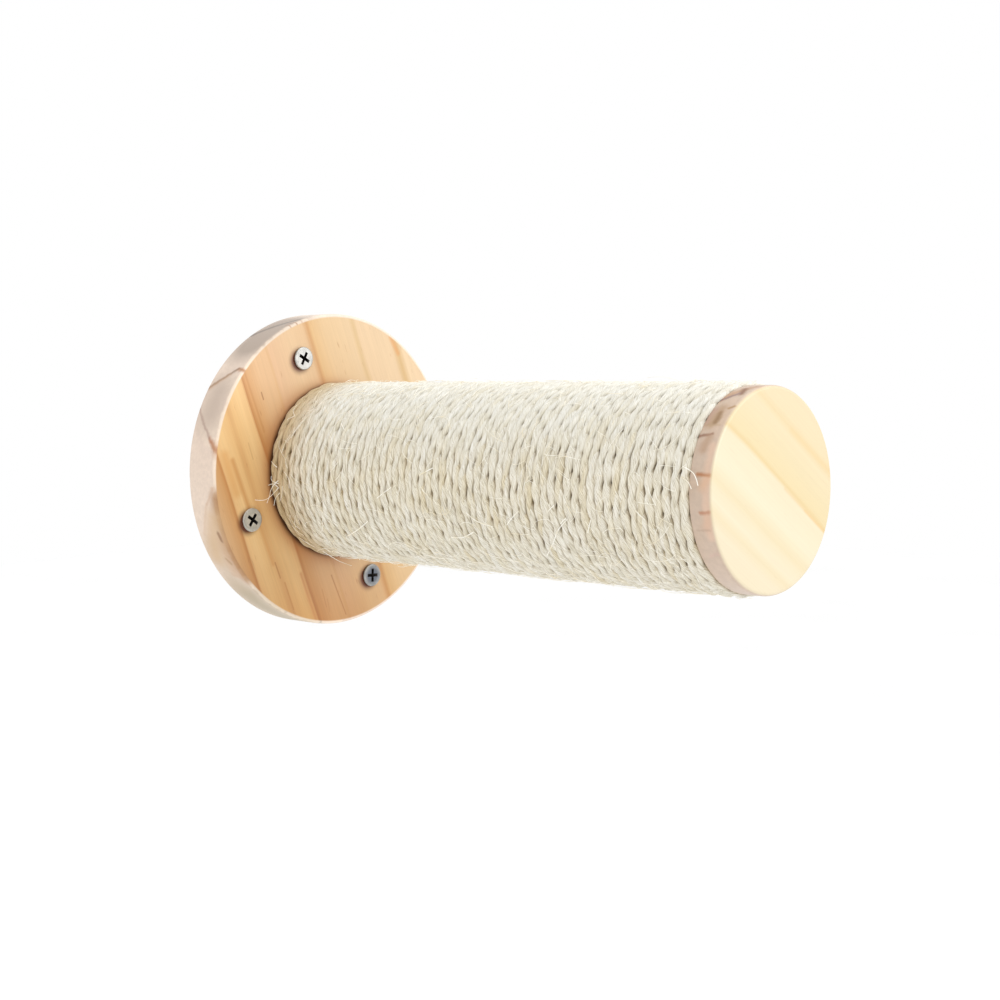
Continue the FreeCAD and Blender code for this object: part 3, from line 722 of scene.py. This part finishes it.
# The plain stand-in for the thread is cut off behind the disc, and a pin with a thread takes its place
whole = screws.verts[:] + screws.edges[:] + screws.faces[:]
bmesh.ops.bisect_plane(
    screws, geom=whole, plane_co=(0, -PIN_START * MM, 0), plane_no=(0, 1, 0), clear_outer=True
)
# The cross recess is a little wider than the plain one
for corner in screws.verts:
    axis, off = off_axis(corner.co)
    if corner.co.y < RECESS_BACK * MM and off.length < RECESS_SPAN * MM:
        corner.co += off * (RECESS_GROWTH - 1)
for shift, girth in ((PIN_START, PIN_RADIUS), (TIP_START, PIN_RADIUS), (TIP_END, TIP_RADIUS)):
    rims = [e for e in screws.edges if e.is_boundary]
    grown = bmesh.ops.extrude_edge_only(screws, edges=rims)["geom"]
    for corner in (v for v in grown if isinstance(v, bmesh.types.BMVert)):
        axis, off = off_axis(corner.co)
        off = off.normalized() * girth * MM
        corner.co = (axis.x + off.x, shift * MM, axis.z + off.z)
bmesh.ops.holes_fill(screws, edges=[e for e in screws.edges if e.is_boundary], sides=0)
turns = (TIP_END - THREAD_END_GAP - THREAD_START) / THREAD_PITCH
steps = round(turns * STEPS_PER_TURN)
climb = (0, THREAD_PITCH / STEPS_PER_TURN * MM, 0)
profile = (
    (THREAD_ROOT, THREAD_START - THREAD_HALF_WIDTH), (THREAD_RADIUS, THREAD_START),
    (THREAD_ROOT, THREAD_START + THREAD_HALF_WIDTH),
)
for axis in axis_places:
    ridge = [screws.verts.new((axis.x + r * MM, y * MM, axis.z)) for r, y in profile]
    loop = [screws.edges.new((ridge[i], ridge[(i + 1) % 3])) for i in range(3)]
    before = set(screws.verts)
    bmesh.ops.spin(
        screws, geom=ridge + loop, cent=axis, axis=(0, -1, 0), dvec=climb,
        angle=2 * math.pi * steps / STEPS_PER_TURN, steps=steps,
    )
    thread = [v for v in screws.verts if v not in before] + ridge
    bmesh.ops.holes_fill(screws, edges=[e for e in screws.edges if e.is_boundary], sides=0)
    # The thread fades in behind the disc and tapers with the point
    for corner in thread:
        axis, off = off_axis(corner.co)
        out_mm = corner.co.y / MM
        fade = min(1.0, max(0.0, (out_mm - THREAD_START) / THREAD_PITCH))
        taper = min(1.0, (TAPER_END - out_mm) / (TAPER_END - TIP_START))
        girth = min(off.length / MM, THREAD_ROOT + (THREAD_RADIUS - THREAD_ROOT) * fade) * taper
        corner.co = axis + off.normalized() * girth * MM + Vector((0, corner.co.y, 0))
bmesh.ops.recalc_face_normals(screws, faces=screws.faces)
# The cross recess is painted near black as the shade that fills it, so it shows as a black cross
recess, tree, shader = blank("steel recess painted dark as shade", metallic=0.6, roughness=0.5)
place = node(tree, "TexCoord").outputs["Object"]
recess_mottle = node(tree, "TexNoise", {"Vector": place, "Scale": 1.2 / MM, "Detail": 2.0}).outputs["Fac"]
tone = node(tree, "ValToRGB", {"Fac": recess_mottle}, stops=[(0.3, "15110f"), (0.7, "3a332f")]).outputs["Color"]
tree.links.new(tone, shader.inputs["Base Color"])
for face in screws.faces:
    centre = face.calc_center_median()
    axis, off = off_axis(centre)
    sunk = HEAD_TOP + 0.05 < centre.y / MM < HEAD_BOTTOM
    face.material_index = int(sunk and off.length / MM < RECESS_REACH and face.normal.y < 0.05)
mesh = bpy.data.meshes.new("cross_head_screws")
screws.to_mesh(mesh)
screws.free()
cross_head_screws = bpy.data.objects.new("cross_head_screws", mesh)
bpy.context.collection.objects.link(cross_head_screws)
mesh.materials.append(zinc)
mesh.materials.append(recess)
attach(cross_head_screws, "root")
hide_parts("wall_screws")

# Studio: a plain pale floor of white paper well below the peg, which hangs where the wall would hold it, and
# three soft lights: a large one from the upper right, a weak one from the left and one from the front right.
FLOOR_DROP = 0.8
FLOOR_HALF = 6
ground = bmesh.new()
bmesh.ops.create_grid(ground, x_segments=1, y_segments=1, size=FLOOR_HALF)
bmesh.ops.translate(ground, vec=(0, 0, -FLOOR_DROP), verts=ground.verts)
mesh = bpy.data.meshes.new("floor")
ground.to_mesh(mesh)
ground.free()
floor = bpy.data.objects.new("floor", mesh)
bpy.context.collection.objects.link(floor)
paper, tree, shader = blank(
    "white studio paper", roughness=0.9, emission_color=(1, 1, 1, 1), emission_strength=0.07
)
place = node(tree, "TexCoord").outputs["Object"]
mottle = node(tree, "TexNoise", {"Vector": place, "Scale": 3.0}).outputs["Fac"]
tone = node(tree, "ValToRGB", {"Fac": mottle}, stops=[(0.3, "f6f6f6"), (0.7, "f9f9f9")]).outputs["Color"]
tree.links.new(tone, shader.inputs["Base Color"])
mesh.materials.append(paper)

world = bpy.data.worlds.new("studio")
bpy.context.scene.world = world
world.use_nodes = True
world.node_tree.nodes["Background"].inputs["Color"].default_value = (1, 1, 1, 1)
world.node_tree.nodes["Background"].inputs["Strength"].default_value = 1.0


def softbox(name, place, target, size, watts):
    """A square area light that faces a target."""
    lamp = bpy.data.lights.new(name, "AREA")
    lamp.size = size
    lamp.energy = watts
    box = bpy.data.objects.new(name, lamp)
    bpy.context.collection.objects.link(box)
    box.location = place
    box.rotation_euler = (Vector(target) - Vector(place)).to_track_quat("-Z", "Y").to_euler()


softbox("key", (0.40, -0.45, 0.95), (0, -0.1, 0), 1.3, 5.8)
softbox("fill", (-0.75, -0.55, 0.12), (0, -0.11, 0), 0.6, 0.8)
softbox("front", (0.55, -1.1, 0.25), (0, -0.15, 0), 0.5, 5)

# Camera: the viewpoint found by fitting the disc's, the rope's and the cap's outlines. The lens is shifted a
# little, because the photo is cut out of a wider one and its middle is not the middle of the lens.
AZIMUTH = math.radians(-45.373)
ELEVATION = math.radians(2.062)
ROLL = math.radians(-0.939)
CAMERA_PLACE = (-0.4491, -0.5255, 0.0426)
FOCAL_PIXELS = 1751
IMAGE_PIXELS = 1000
right = Vector((math.cos(AZIMUTH), math.sin(AZIMUTH), 0))
back = Vector((
    math.sin(AZIMUTH) * math.cos(ELEVATION), -math.cos(AZIMUTH) * math.cos(ELEVATION), math.sin(ELEVATION)
))
up = back.cross(right)
rolled_right = right * math.cos(ROLL) + up * math.sin(ROLL)
rolled_up = up * math.cos(ROLL) - right * math.sin(ROLL)
lens = bpy.data.cameras.new("camera")
lens.sensor_width = 36
lens.lens = FOCAL_PIXELS / IMAGE_PIXELS * lens.sensor_width
lens.shift_x = 0.04
lens.shift_y = -0.08
lens.clip_start = 0.01
camera = bpy.data.objects.new("camera", lens)
bpy.context.collection.objects.link(camera)
turned = Matrix((rolled_right, rolled_up, back)).transposed().to_4x4()
camera.matrix_world = Matrix.Translation(CAMERA_PLACE) @ turned
bpy.context.scene.camera = camera
bpy.context.scene.view_settings.view_transform = "Standard"
